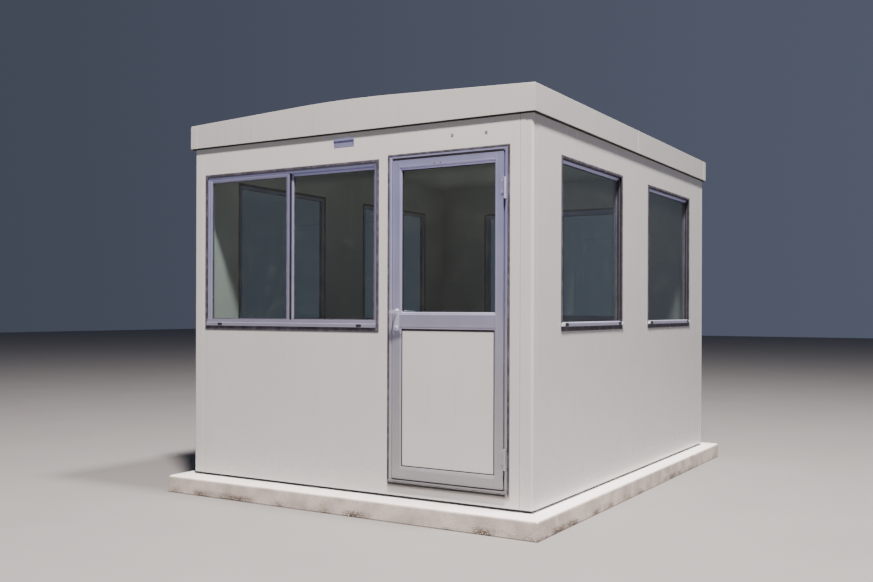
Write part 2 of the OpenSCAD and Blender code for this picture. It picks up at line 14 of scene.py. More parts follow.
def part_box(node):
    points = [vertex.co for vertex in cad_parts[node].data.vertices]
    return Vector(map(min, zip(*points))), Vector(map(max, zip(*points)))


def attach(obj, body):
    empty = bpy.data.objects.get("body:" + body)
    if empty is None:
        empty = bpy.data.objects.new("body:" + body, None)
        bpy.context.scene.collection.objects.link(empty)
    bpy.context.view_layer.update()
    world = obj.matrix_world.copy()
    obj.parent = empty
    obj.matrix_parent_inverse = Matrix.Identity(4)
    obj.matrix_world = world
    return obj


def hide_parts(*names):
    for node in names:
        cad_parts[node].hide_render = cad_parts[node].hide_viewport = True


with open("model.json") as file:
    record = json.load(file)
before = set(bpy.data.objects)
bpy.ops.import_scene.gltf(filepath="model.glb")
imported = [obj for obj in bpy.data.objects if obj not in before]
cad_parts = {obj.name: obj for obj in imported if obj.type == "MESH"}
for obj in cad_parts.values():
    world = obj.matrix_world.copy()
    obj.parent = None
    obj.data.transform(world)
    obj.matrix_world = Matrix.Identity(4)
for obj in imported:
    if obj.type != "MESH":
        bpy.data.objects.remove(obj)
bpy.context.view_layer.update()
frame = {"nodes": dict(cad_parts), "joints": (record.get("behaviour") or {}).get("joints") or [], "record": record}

MM = 0.001

# What the frame gives. CORNER is the foot of the front right corner.
WALL_FACE, WALL_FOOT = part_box("front_wall")[0].yz
CORNER = Vector((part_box("corner_post_front_right")[1].x, WALL_FACE, WALL_FOOT))
SLOTS = {row["node"]: row["material_slot"] for row in frame["record"]["subparts"]}


# Shader helpers

def linear(hex_colour):
    """An sRGB hex colour as linear RGBA."""
    channels = [int(hex_colour[i:i + 2], 16) / 255 for i in (1, 3, 5)]
    return [c / 12.92 if c <= 0.04045 else ((c + 0.055) / 1.055) ** 2.4 for c in channels] + [1.0]


def add(tree, kind, inputs=None, **settings):
    """Adds a shader node with its settings. Each input takes a number or a vector, an sRGB hex
    colour, a socket, or a node, which gives its first output in use."""
    node = tree.nodes.new("ShaderNode" + kind)
    for name, value in settings.items():
        setattr(node, name, value)
    for key, value in (inputs or {}).items():
        if isinstance(value, str):
            value = linear(value)
        if isinstance(value, bpy.types.Node):
            value = next(socket for socket in value.outputs if socket.enabled)
        if isinstance(value, bpy.types.NodeSocket):
            tree.links.new(value, node.inputs[key])
        else:
            node.inputs[key].default_value = value
    return node


# A colour Mix node's inputs
FACTOR, FIRST, SECOND = 0, 6, 7
COLOUR = {"data_type": "RGBA"}
SMOOTH = {"interpolation_type": "SMOOTHSTEP"}


def new_finish(name):
    """An empty material, its tree, and the object's own coordinates in millimetres."""
    material = bpy.data.materials.new(name)
    material.use_nodes = True
    tree = material.node_tree
    tree.nodes.clear()
    place = add(tree, "TexCoord")
    mm = add(tree, "VectorMath", {
        "Vector": place.outputs["Object"], "Scale": 1000.0}, operation="SCALE")
    return material, tree, mm.outputs["Vector"]


# Finishes. Patterns lie on the object's own coordinates in millimetres, so that a Scale of 1 / 380
# draws clouds 380 mm wide. What is too fine for the portrait is drawn coarser than it is: orange
# peel, die lines, and the grain of sand, plastic, rubber and paint.

def gelcoated_laminate(name, tint, stain, polish, weather):
    """Glass-fibre polyester moulded against a polished form: an even, glossy skin with a faint
    orange peel and the slow waves of the mat behind it. Rain leaves thin upright runs on it, and
    splashes dull its foot. polish is its roughness where it is clean."""
    material, tree, mm = new_finish(name)
    clouds = add(tree, "TexNoise", {"Vector": mm, "Scale": 1 / 380, "Detail": 3.0})
    tall = add(tree, "Mapping", {"Vector": mm, "Scale": (1 / 34, 1 / 34, 1 / 900)})
    runs = add(tree, "TexNoise", {"Vector": tall, "Scale": 1.0, "Detail": 5.0})
    run_share = add(tree, "MapRange", {
        "Value": runs, "From Min": 0.52, "From Max": 0.82, "To Max": weather}, **SMOOTH)
    height = add(tree, "SeparateXYZ", {"Vector": mm})
    low = add(tree, "MapRange", {
        "Value": height.outputs["Z"], "From Min": WALL_FOOT / MM + 320.0, "From Max": WALL_FOOT / MM,
        "To Max": weather}, **SMOOTH)
    splash = add(tree, "Math", {0: low, 1: clouds}, operation="MULTIPLY")
    dirt = add(tree, "Math", {0: run_share, 1: splash}, operation="ADD", use_clamp=True)
    mottle = add(tree, "MapRange", {
        "Value": clouds, "From Min": 0.3, "From Max": 0.7, "To Max": 0.10}, **SMOOTH)
    clean = add(tree, "Mix", {FACTOR: mottle, FIRST: tint, SECOND: stain}, **COLOUR)
    colour = add(tree, "Mix", {FACTOR: dirt, FIRST: clean, SECOND: stain}, **COLOUR)
    roughness = add(tree, "MapRange", {
        "Value": dirt, "From Max": 0.5, "To Min": polish, "To Max": polish + 0.22})
    peel = add(tree, "TexNoise", {"Vector": mm, "Scale": 1 / 5, "Detail": 1.0})
    waves = add(tree, "TexNoise", {"Vector": mm, "Scale": 1 / 210, "Detail": 1.0})
    wavy = add(tree, "Bump", {"Height": waves, "Strength": 1.0, "Distance": 0.9 * MM})
    bump = add(tree, "Bump", {"Height": peel, "Strength": 0.35, "Distance": 0.05 * MM, "Normal": wavy})
    add(tree, "OutputMaterial", {"Surface": add(tree, "BsdfPrincipled", {
        "Base Color": colour, "Roughness": roughness, "IOR": 1.5, "Coat Weight": 0.25,
        "Coat Roughness": 0.12, "Normal": bump})})
    return material


def cast_concrete():
    """Concrete cast in a form and trowelled on top: pale, fine-grained and dull, with small air holes in its sides
    and stones that show where the mix left the foot open. The holes and the gaps between the stones are painted
    dark as the shade in them, and the top faces are painted near white, which is painted light where the light
    falls on them."""
    material, tree, mm = new_finish("cast_concrete")
    facing = add(tree, "NewGeometry")
    up = add(tree, "SeparateXYZ", {"Vector": facing.outputs["Normal"]})
    top = add(tree, "MapRange", {"Value": up.outputs["Z"], "From Min": 0.3, "From Max": 0.8}, **SMOOTH)
    clouds = add(tree, "TexNoise", {"Vector": mm, "Scale": 1 / 160, "Detail": 5.0})
    sand = add(tree, "TexNoise", {"Vector": mm, "Scale": 1 / 2.5, "Detail": 4.0})
    holes = add(tree, "TexVoronoi", {"Vector": mm, "Scale": 1 / 16})
    hole = add(tree, "MapRange", {
        "Value": holes.outputs["Distance"], "From Min": 0.10, "From Max": 0.20}, **SMOOTH)
    stones = add(tree, "TexVoronoi", {"Vector": mm, "Scale": 1 / 13}, feature="DISTANCE_TO_EDGE")
    crumbled = add(tree, "MapRange", {
        "Value": stones.outputs["Distance"], "From Min": 0.02, "From Max": 0.3}, **SMOOTH)
    height = add(tree, "SeparateXYZ", {"Vector": mm})
    foot = add(tree, "MapRange", {
        "Value": height.outputs["Z"], "From Min": 62.0, "From Max": 12.0}, **SMOOTH)
    patches = add(tree, "TexNoise", {"Vector": mm, "Scale": 1 / 240, "Detail": 3.0})
    bare = add(tree, "MapRange", {"Value": patches, "From Min": 0.42, "From Max": 0.62}, **SMOOTH)
    rough_foot = add(tree, "Math", {0: foot, 1: bare}, operation="MULTIPLY")
    gap_shade = add(tree, "Math", {0: 1.0, 1: crumbled}, operation="SUBTRACT")
    # The gaps between the stones at the foot get painted shade
    deep = add(tree, "Math", {0: rough_foot, 1: gap_shade}, operation="MULTIPLY")
    stain = add(tree, "MapRange", {"Value": clouds, "From Min": 0.35, "From Max": 0.68}, **SMOOTH)
    side = add(tree, "Mix", {FACTOR: stain, FIRST: "#D2C8C2", SECOND: "#B4AAA2"}, **COLOUR)
    speckled = add(tree, "Mix", {
        FACTOR: 0.35, FIRST: side, SECOND: sand.outputs["Color"]}, **COLOUR, blend_type="OVERLAY")
    # The air holes are painted dark: painted shade inside them
    holes_with_painted_shade = add(tree, "Mix", {FACTOR: hole, FIRST: "#6E6862", SECOND: speckled}, **COLOUR)
    foot_with_painted_gap_shade = add(tree, "Mix", {FACTOR: deep, FIRST: holes_with_painted_shade, SECOND: "#574A3E"}, **COLOUR)
    # The top faces are painted near white: painted light where the light falls on them
    painted_lit_top = add(tree, "Mix", {FACTOR: stain, FIRST: "#FDFBF9", SECOND: "#F6F3EF"}, **COLOUR)
    colour = add(tree, "Mix", {FACTOR: top, FIRST: foot_with_painted_gap_shade, SECOND: painted_lit_top}, **COLOUR)
    grain = add(tree, "Bump", {"Height": sand, "Strength": 0.6, "Distance": 0.5 * MM})
    pitted = add(tree, "Bump", {"Height": hole, "Strength": 0.8, "Distance": 1.5 * MM, "Normal": grain})
    lumps = add(tree, "Math", {0: rough_foot, 1: crumbled}, operation="MULTIPLY")
    bump = add(tree, "Bump", {"Height": lumps, "Strength": 0.9, "Distance": 6 * MM, "Normal": pitted})
    add(tree, "OutputMaterial", {"Surface": add(tree, "BsdfPrincipled", {
        "Base Color": colour, "Roughness": 0.88, "Specular IOR Level": 0.3, "Normal": bump})})
    return material


def tarred_board():
    """Softwood board dipped in bitumen: near black, dull, with its grain raised along its length."""
    material, tree, mm = new_finish("tarred_board")
    long_grain = add(tree, "Mapping", {"Vector": mm, "Scale": (1 / 90, 1 / 90, 1 / 2.5)})
    grain = add(tree, "TexNoise", {"Vector": long_grain, "Scale": 1.0, "Detail": 5.0})
    colour = add(tree, "Mix", {FACTOR: grain, FIRST: "#26292E", SECOND: "#4A5058"}, **COLOUR)
    bump = add(tree, "Bump", {"Height": grain, "Strength": 0.5, "Distance": 0.6 * MM})
    add(tree, "OutputMaterial", {"Surface": add(tree, "BsdfPrincipled", {
        "Base Color": colour, "Roughness": 0.7, "Normal": bump})})
    return material


def vinyl_sheet():
    """PVC floor sheet, rolled with coloured chips: mid grey, speckled, with a soft sheen and scuffs."""
    material, tree, mm = new_finish("vinyl_sheet")
    chips = add(tree, "TexVoronoi", {"Vector": mm, "Scale": 1 / 5})
    tone = add(tree, "SeparateXYZ", {"Vector": chips.outputs["Color"]})
    colour = add(tree, "Mix", {
        FACTOR: tone.outputs["X"], FIRST: "#77787C", SECOND: "#96969A"}, **COLOUR)
    scuffs = add(tree, "TexNoise", {"Vector": mm, "Scale": 1 / 140, "Detail": 6.0})
    roughness = add(tree, "MapRange", {"Value": scuffs, "To Min": 0.3, "To Max": 0.6})
    emboss = add(tree, "TexNoise", {"Vector": mm, "Scale": 1 / 3, "Detail": 1.0})
    bump = add(tree, "Bump", {"Height": emboss, "Strength": 0.3, "Distance": 0.15 * MM})
    add(tree, "OutputMaterial", {"Surface": add(tree, "BsdfPrincipled", {
        "Base Color": colour, "Roughness": roughness, "Normal": bump})})
    return material


def stippled_board():
    """Painted ceiling board: matt off-white with a roller's fine stipple."""
    material, tree, mm = new_finish("stippled_board")
    stipple = add(tree, "TexNoise", {"Vector": mm, "Scale": 1 / 3})
    clouds = add(tree, "TexNoise", {"Vector": mm, "Scale": 1 / 500})
    colour = add(tree, "Mix", {FACTOR: clouds, FIRST: "#DEDCD7", SECOND: "#CFCDC8"}, **COLOUR)
    bump = add(tree, "Bump", {"Height": stipple, "Strength": 0.4, "Distance": 0.3 * MM})
    add(tree, "OutputMaterial", {"Surface": add(tree, "BsdfPrincipled", {
        "Base Color": colour, "Roughness": 0.75, "Normal": bump})})
    return material


# The scale of the die lines on each axis, for a section that stands or lies
STANDING, LYING = (1 / 2.5, 1 / 2.5, 1 / 700), (0, 0, 1 / 2.5)


def anodised_aluminium(name, lie, low=("#A3A1A9", "#C1BFC5"), high=("#9193C0", "#AFB2DA")):
    """Extruded aluminium, etched matt and anodised: a satin metal with die lines that run along the section. Its
    colour carries a painted reflection: lilac like the sky high up, and grey like the ground near the floor. It
    scatters a part of the light, so that shadows show on it."""
    material, tree, mm = new_finish(name)
    drawn = add(tree, "Mapping", {"Vector": mm, "Scale": lie})
    lines = add(tree, "TexNoise", {"Vector": drawn, "Scale": 1.0, "Detail": 3.0})
    blotches = add(tree, "TexNoise", {"Vector": mm, "Scale": 1 / 120, "Detail": 3.0})
    share = add(tree, "Mix", {0: 0.3, 2: lines, 3: blotches})
    height = add(tree, "SeparateXYZ", {"Vector": mm})
    # Painted reflection: the sky's lilac grows with height, and the ground's grey holds near the floor
    painted_sky_share = add(tree, "MapRange", {
        "Value": height.outputs["Z"], "From Min": 400.0, "From Max": 2000.0}, **SMOOTH)
    tones = [add(tree, "Mix", {FACTOR: share, FIRST: dark, SECOND: light}, **COLOUR)
             for dark, light in (low, high)]
    colour = add(tree, "Mix", {FACTOR: painted_sky_share, FIRST: tones[0], SECOND: tones[1]}, **COLOUR)
    roughness = add(tree, "MapRange", {
        "Value": share, "From Min": 0.3, "From Max": 0.7, "To Min": 0.44, "To Max": 0.58})
    bump = add(tree, "Bump", {"Height": lines, "Strength": 0.35, "Distance": 0.06 * MM})
    add(tree, "OutputMaterial", {"Surface": add(tree, "BsdfPrincipled", {
        "Base Color": colour, "Metallic": 0.72, "Roughness": roughness, "Normal": bump})})
    return material


def plated_zinc():
    """Zinc die casting, satin plated: bright, cool metal, brushed fine and rubbed smooth by hands."""
    material, tree, mm = new_finish("plated_zinc")
    tall = add(tree, "Mapping", {"Vector": mm, "Scale": (1 / 0.6, 1 / 0.6, 1 / 25)})
    brushing = add(tree, "TexNoise", {"Vector": tall, "Scale": 1.0})
    rubbed = add(tree, "TexNoise", {"Vector": mm, "Scale": 1 / 30})
    roughness = add(tree, "MapRange", {"Value": rubbed, "To Min": 0.26, "To Max": 0.46})
    colour = add(tree, "Mix", {FACTOR: brushing, FIRST: "#D8D8F2", SECOND: "#EFEFFF"}, **COLOUR)
    bump = add(tree, "Bump", {"Height": brushing, "Strength": 0.25, "Distance": 0.03 * MM})
    add(tree, "OutputMaterial", {"Surface": add(tree, "BsdfPrincipled", {
        "Base Color": colour, "Metallic": 0.7, "Roughness": roughness, "Normal": bump})})
    return material


def moulded_plastic(name, dark, light):
    """Injection-moulded polyamide: one even tone, spark-eroded to a fine dull texture, and a
    little bleached by the sun."""
    material, tree, mm = new_finish(name)
    bleached = add(tree, "TexNoise", {"Vector": mm, "Scale": 1 / 12, "Detail": 3.0})
    colour = add(tree, "Mix", {FACTOR: bleached, FIRST: dark, SECOND: light}, **COLOUR)
    eroded = add(tree, "TexNoise", {"Vector": mm, "Scale": 1 / 0.5})
    bump = add(tree, "Bump", {"Height": eroded, "Strength": 0.4, "Distance": 0.04 * MM})
    add(tree, "OutputMaterial", {"Surface": add(tree, "BsdfPrincipled", {
        "Base Color": colour, "Roughness": 0.5, "Normal": bump})})
    return material


def weather_rubber(name="weather_rubber", dark="#3A3740", light="#5F5B69", dust=0.75):
    """Extruded rubber: dark grey, dull, with a dusty bloom where the weather reaches it, and pale
    with dried splashes near the ground."""
    material, tree, mm = new_finish(name)
    bloom = add(tree, "TexNoise", {"Vector": mm, "Scale": 1 / 45, "Detail": 5.0})
    share = add(tree, "MapRange", {"Value": bloom, "From Min": 0.35, "From Max": 0.75}, **SMOOTH)
    colour = add(tree, "Mix", {FACTOR: share, FIRST: dark, SECOND: light}, **COLOUR)
    height = add(tree, "SeparateXYZ", {"Vector": mm})
    splashed = add(tree, "MapRange", {
        "Value": height.outputs["Z"], "From Min": 228.0, "From Max": 196.0, "To Max": dust}, **SMOOTH)
    dusty = add(tree, "Mix", {FACTOR: splashed, FIRST: colour, SECOND: "#A19D98"}, **COLOUR)
    skin = add(tree, "TexNoise", {"Vector": mm, "Scale": 1 / 1.5})
    bump = add(tree, "Bump", {"Height": skin, "Strength": 0.3, "Distance": 0.08 * MM})
    add(tree, "OutputMaterial", {"Surface": add(tree, "BsdfPrincipled", {
        "Base Color": dusty, "Roughness": 0.62, "Specular IOR Level": 0.4, "Normal": bump})})
    return material


def float_glass():
    """Float glass: clear with a faint green cast, mirror smooth, with a thin film of dust."""
    material, tree, mm = new_finish("float_glass")
    slant = add(tree, "LayerWeight", {"Blend": 0.5})
    steep = add(tree, "Math", {0: slant.outputs["Facing"], 1: 5.0}, operation="POWER")
    mirrored = add(tree, "MapRange", {"Value": steep, "To Min": 0.045})
    clear = add(tree, "BsdfTransparent", {"Color": "#E9F0EE"})
    gloss = add(tree, "BsdfGlossy", {"Color": "#FFFFFF", "Roughness": 0.0})
    pane = add(tree, "MixShader", {0: mirrored, 1: clear, 2: gloss})
    specks = add(tree, "TexNoise", {"Vector": mm, "Scale": 1 / 90, "Detail": 7.0})
    film = add(tree, "MapRange", {
        "Value": specks, "From Min": 0.45, "From Max": 0.85,
        "To Min": 0.012, "To Max": 0.03}, **SMOOTH)
    dust = add(tree, "BsdfDiffuse", {"Color": "#C9C4BA"})
    add(tree, "OutputMaterial", {"Surface": add(tree, "MixShader", {0: film, 1: pane, 2: dust})})
    return material


FINISHES = {
    "concrete": cast_concrete(),
    "base_board": tarred_board(),
    "floor_vinyl": vinyl_sheet(),
    "wall_laminate": gelcoated_laminate("gelcoated_wall", "#C6C6C8", "#B1AFAE", polish=0.24,
                                        weather=0.22),
    "roof_laminate": gelcoated_laminate("gelcoated_roof", "#B6B6B8", "#A19F9B", polish=0.38,
                                        weather=0.34),
    "ceiling_board": stippled_board(),
    "anodised_aluminium": anodised_aluminium("anodised_upright", STANDING),
    "hardware": plated_zinc(),
    "rubber": weather_rubber(),
    "glass": float_glass(),
}
for node, slot in SLOTS.items():
    frame["nodes"][node].data.materials[0] = FINISHES[slot]


# Modelling helpers

WELD = 0.01 * MM  # closer points are one
SAW_GAP = 0.2 * MM  # a cut stays this far off a face, or it can't tell the sides apart
SLIVER = 0.1 * MM  # a bevel leaves this much flat, so that it doesn't meet itself
# Faces that meet at less than the first are one face, at less than the second aren't rounded, and
# at less than the third are shaded as one
FLAT_ANGLE, ROUND_ANGLE, SMOOTH_ANGLE = (math.radians(angle) for angle in (1, 40, 50))


def deselect():
    bpy.ops.object.select_all(action="DESELECT")


def activate(piece):
    """Selects this piece alone."""
    deselect()
    piece.select_set(True)
    bpy.context.view_layer.objects.active = piece


def settle():
    """Writes the selected piece's place and turn into its mesh."""
    bpy.ops.object.transform_apply(location=True, rotation=True, scale=True)


def opened(name):
    """The piece that an operator has just made, named and open in edit mode."""
    piece = bpy.context.object
    piece.name = name
    settle()
    bpy.ops.object.mode_set(mode="EDIT")
    return piece


def block(name, low, high):
    """A new block between two corners, open in edit mode."""
    deselect()
    low, high = Vector(low), Vector(high)
    bpy.ops.mesh.primitive_cube_add(size=1, location=(low + high) / 2, scale=high - low)
    return opened(name)


def pick_facing(piece, out=(0, -1, 0), least=0.9):
    """Selects the open piece's faces whose normals lie along out, to a cosine of least."""
    bpy.ops.mesh.select_mode(type="FACE")
    mesh = bmesh.from_edit_mesh(piece.data)
    mesh.normal_update()
    for face in mesh.faces:
        face.select_set(face.normal.dot(Vector(out)) > least)
    bmesh.update_edit_mesh(piece.data)


def turned_disc(name, foot, out, radius, height, edge, sides=32):
    """A new round boss that stands out from its foot, its rim rounded, open in edit mode."""
    deselect()
    out = Vector(out)
    bpy.ops.mesh.primitive_cylinder_add(
        vertices=sides, radius=radius, depth=height, location=Vector(foot) + out * height / 2,
        rotation=out.to_track_quat("Z", "Y").to_euler())
    disc = opened(name)
    pick_facing(disc, out)
    bpy.ops.mesh.bevel(offset=edge, segments=3, affect="EDGES")
    return disc


def pick_edges(piece, wanted):
    """Selects the open piece's edges for which wanted(first end, second end) holds."""
    bpy.ops.mesh.select_mode(type="EDGE")
    bpy.ops.mesh.select_all(action="DESELECT")
    mesh = bmesh.from_edit_mesh(piece.data)
    for edge in mesh.edges:
        if wanted(edge.verts[0].co, edge.verts[1].co):
            edge.select_set(True)
    bmesh.update_edit_mesh(piece.data)


def ease_edges(radius):
    """Rounds every edge of the open piece."""
    bpy.ops.mesh.select_mode(type="EDGE")
    bpy.ops.mesh.select_all(action="SELECT")
    bpy.ops.mesh.bevel(offset=radius, segments=2, affect="EDGES", clamp_overlap=True)


def saw(cuts):
    """Saws the open piece. Each cut is a point and the direction that falls off."""
    for point, away in cuts:
        bpy.ops.mesh.select_all(action="SELECT")
        bpy.ops.mesh.bisect(plane_co=point, plane_no=away.normalized(), clear_outer=True, use_fill=True)


def close(piece, finish):
    """Leaves edit mode and gives the piece its finish."""
    bpy.ops.object.mode_set(mode="OBJECT")
    piece.data.materials.clear()
    piece.data.materials.append(finish)
    return piece


def part_finish(piece, finish, wanted):
    """Gives a finish of their own to the closed piece's faces for which wanted(face) holds."""
    piece.data.materials.append(finish)
    for face in piece.data.polygons:
        if wanted(face):
            face.material_index = len(piece.data.materials) - 1


def join(name, parts):
    """Makes one piece of its parts."""
    deselect()
    for part in parts:
        part.select_set(True)
    bpy.context.view_layer.objects.active = parts[0]
    if len(parts) > 1:
        bpy.ops.object.join()
    piece = bpy.context.object
    piece.name = piece.data.name = name
    return piece


def mount(piece, body, turn=0, stands_for=()):
    """Turns a piece made as if on the front to its own side, and lets it ride on its body."""
    activate(piece)
    piece.rotation_euler.z = math.radians(turn)
    settle()
    bpy.ops.object.shade_smooth_by_angle(angle=SMOOTH_ANGLE)
    even = piece.modifiers.new("even_shading", "WEIGHTED_NORMAL")
    even.keep_sharp = True
    bpy.ops.object.modifier_apply(modifier=even.name)
    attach(piece, body)
    if stands_for:
        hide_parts(*stands_for)
    return piece


def solids(node, turn=0):
    """The boxes of a node's solids, each as its low and high corner, seen from the side that
    faces turn degrees from the front, from left to right."""
    source = frame["nodes"][node].data
    mesh = bmesh.new()
    mesh.from_mesh(source)
    bmesh.ops.remove_doubles(mesh, verts=mesh.verts, dist=WELD)
    facing = Matrix.Rotation(math.radians(-turn), 3, "Z")
    left, boxes = set(mesh.verts), []
    while left:
        reached = [left.pop()]
        for vert in reached:
            for edge in vert.link_edges:
                other = edge.other_vert(vert)
                if other in left:
                    left.remove(other)
                    reached.append(other)
        points = [facing @ vert.co for vert in reached]
        boxes.append((Vector(map(min, zip(*points))), Vector(map(max, zip(*points)))))
    mesh.free()
    return sorted(boxes, key=lambda box: (round(box[0].x, 4), box[0].z))


def shrunk(box, left, right=None, bottom=None, top=None):
    """A box made narrower and lower, seen from its front, by equal widths unless told otherwise."""
    right, bottom, top = (left if width is None else width for width in (right, bottom, top))
    return box[0] + Vector((left, 0, bottom)), box[1] - Vector((right, 0, top))


def deep(box, front, back):
    """A box with other depths."""
    return Vector((box[0].x, front, box[0].z)), Vector((box[1].x, back, box[1].z))


def section(name, low, high, finish, cuts=(), channel=None, faces=(-1,), ease=0.5 * MM):
    """A length of section: a sawn block. Its wide faces may have a channel, which is given as its
    margin and its depth: faces holds -1 for the front and 1 for the back."""
    piece = block(name, low, high)
    saw(cuts)
    if channel:
        margin, depth = channel
        for side in faces:
            pick_facing(piece, (0, side, 0), 0.99)
            bpy.ops.mesh.inset(thickness=margin, depth=-depth)
    ease_edges(ease)
    return close(piece, finish)


def splay_cut(edge, inward, splay):
    """The cut that slants a section's front down to its inner edge: splay is the cut's run across
    the front and its fall, inward the direction from the section to the opening."""
    run, fall = splay
    return edge - inward * run, inward * fall - Vector((0, run, 0))


def mitred_ring(name, outer, inner, upright, level, channel=None, faces=(-1,), ease=0.5 * MM, splay=None):
    """Four lengths of section, sawn on the mitre and joined round an opening. outer and inner are
    boxes: the ring lies between their sides, at the depths of outer."""
    (x0, y0, z0), (x1, y1, z1) = outer
    (i0, _, j0), (i1, _, j1) = inner

    def mitre(x, z, i, j):
        return Vector((x, y0, z)), Vector((i, y0, j))

    low_left, low_right = mitre(x0, z0, i0, j0), mitre(x1, z0, i1, j0)
    high_left, high_right = mitre(x0, z1, i0, j1), mitre(x1, z1, i1, j1)
    sides = ((upright, low_left, high_left, (1, 0, 0)), (upright, low_right, high_right, (-1, 0, 0)),
             (level, low_left, low_right, (0, 0, 1)), (level, high_left, high_right, (0, 0, -1)))
    parts = []
    for finish, first, second, inward in sides:
        corners = first + second
        middle = sum(corners, Vector()) / 4
        cuts = []
        for outside, inside in (first, second):
            run = inside - outside
            away = Vector((-run.z, 0, run.x))
            cuts.append((outside, away if away.dot(outside - middle) > 0 else -away))
        if splay:
            cuts.append(splay_cut(first[1], Vector(inward), splay))
        low, high = Vector(map(min, zip(*corners))), Vector(map(max, zip(*corners)))
        high.y = y1
        parts.append(section(name, low, high, finish, cuts, channel, faces, ease))
    return join(name, parts)


def repeat(name, pattern, places):
    """One piece of a pattern that stands at the first place and its copies at the others."""
    parts = [pattern]
    for place in places[1:]:
        activate(pattern)
        bpy.ops.object.duplicate(linked=False)
        bpy.ops.transform.translate(value=Vector(place) - Vector(places[0]))
        parts.append(bpy.context.object)
    return join(name, parts)


def softened(node, name, width, segments=2, cuts=(), turn=0):
    """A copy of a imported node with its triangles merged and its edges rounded, sawn by cuts, seen
    from the side that faces turn degrees from the front."""
    piece = bpy.data.objects.new(name, frame["nodes"][node].data.copy())
    bpy.context.scene.collection.objects.link(piece)
    activate(piece)
    piece.rotation_euler.z = math.radians(-turn)
    settle()
    bpy.ops.object.mode_set(mode="EDIT")
    bpy.ops.mesh.select_all(action="SELECT")
    bpy.ops.mesh.remove_doubles(threshold=WELD)
    bpy.ops.mesh.dissolve_limited(angle_limit=FLAT_ANGLE)
    saw(cuts)
    bpy.ops.object.mode_set(mode="OBJECT")
    rounding = piece.modifiers.new("rounding", "BEVEL")
    rounding.width, rounding.segments = width, segments
    rounding.limit_method, rounding.angle_limit = "ANGLE", ROUND_ANGLE
    bpy.ops.object.modifier_apply(modifier=rounding.name)
    return piece


# Windows and door, made as if on the front and then turned to their own side

FRONT, RIGHT, BACK, LEFT = 0, 90, 180, -90
UPRIGHT, LEVEL = FINISHES["anodised_aluminium"], anodised_aluminium("anodised_level", LYING)
RUBBER = FINISHES["rubber"]
# The black plastic and the near-black rubber serve real seals and parts, and also paint shade where they are put
# in slots, gaps and under overhangs. The pale plastic paints a highlight on the sill ends.
BLACK_PLASTIC_AND_SHADE = moulded_plastic("black_polyamide_and_shade", "#141416", "#26262A")
BLACK_RUBBER_AND_SHADE = weather_rubber("black_rubber_and_shade", "#0F0E12", "#1E1C22", 0.0)
PALE_HIGHLIGHT_PLASTIC = moulded_plastic("pale_highlight_polyamide", "#B9B9C4", "#D2D2DA")
GREY_PLASTIC = moulded_plastic("grey_polyamide", "#6C6C70", "#828286")
# The knuckles, too, turn from grey low down to lilac high up: a painted reflection
SLEEVE = anodised_aluminium("anodised_turned", (0, 0, 1 / 0.4), ("#A9A7B0", "#C2C0C8"),
                            ("#C4C3DC", "#DCDBF0"))
# The threshold's step is drawn in a darker grey
DARK_THRESHOLD_METAL = anodised_aluminium("darker_threshold", LYING, ("#7F7D82", "#9A989C"))

# A channel has a margin and a depth, and a splay a run and a fall
FRAME_CHANNEL, LOCK_STRIP = (4 * MM, 1 * MM), (6 * MM, -1.2 * MM)
SLIDER_SPLAY, FIXED_SPLAY = (12 * MM, 4.5 * MM), (14 * MM, 13.5 * MM)
# How far the sill stands out, and how far behind it the faces of the frames lie
SILL_OUT, SLIDER_RECESS, FIXED_RECESS = 12 * MM, 3 * MM, 15 * MM
GASKET_W, GASKET_OUT = 4.5 * MM, 2.5 * MM
SEAL_W, SEAL_LAP, SEAL_GAP = 6 * MM, 0.3 * MM, 0.5 * MM
DRAIN_IN, DRAIN_UP = 130 * MM, 12 * MM
DRAIN_W, DRAIN_H, DRAIN_D = 42 * MM, 17 * MM, 6 * MM
CAP_W, CAP_H, CAP_D, CAP_LAP, CAP_OUT, CAP_UP = 38 * MM, 20 * MM, 18 * MM, 19 * MM, 1 * MM, 2 * MM
SLEEVE_W, SLEEVE_OUT, SLEEVE_GAP, NOSE_H = 55 * MM, 0.8 * MM, 1 * MM, 23 * MM


def glazing_gasket(name, turn, body, pane, width=GASKET_W, finish=RUBBER):
    """Rubber pressed between a pane and its sash, on both faces."""
    opening = shrunk(pane, width)
    faces = ((pane[0].y - GASKET_OUT, pane[0].y), (pane[1].y, pane[1].y + GASKET_OUT))
    rings = [mitred_ring(name, deep(pane, *face), opening, finish, finish, ease=1.1 * MM)
             for face in faces]
    mount(join(name, rings), body, turn)


# By the y of its normal a face looks straight ahead below AHEAD and is a splay below ASLANT, and
# within EDGEWISE of zero it stands edge on
AHEAD, ASLANT, EDGEWISE = -0.95, -0.6, 0.3


def rubber_surround(name, turn, hole, frame_box):
    """The wall's edging: a rubber section with a locking strip pressed into its middle. Only what
    faces the weather has the dusty bloom."""
    ring = mitred_ring(name, hole, frame_box, RUBBER, RUBBER, channel=LOCK_STRIP, ease=0.8 * MM)
    part_finish(ring, BLACK_RUBBER_AND_SHADE, lambda face: abs(face.normal.y) < EDGEWISE)
    return mount(ring, "booth", turn)


def aluminium_frame(name, turn, outer, inner, stands_for, splay, wedge=None):
    """A window frame or sash: splayed sections, mitred at their corners. A wedge of rubber may lie
    on the splay at the sides, and at the foot right down to the sill."""
    ring = mitred_ring(name, outer, inner, UPRIGHT, LEVEL, FRAME_CHANNEL, (1,), splay=splay)
    if wedge:
        part_finish(ring, wedge, lambda face: (
            face.center.z < inner[0].z if face.normal.y < AHEAD
            else face.normal.y < ASLANT and face.normal.z > -EDGEWISE))
    return mount(ring, "booth", turn, (stands_for,))


def in_front(face):
    """The cut that leaves only what stands clear in front of a depth."""
    return ((Vector((0, face - SAW_GAP, 0)), Vector((0, 1, 0))),)


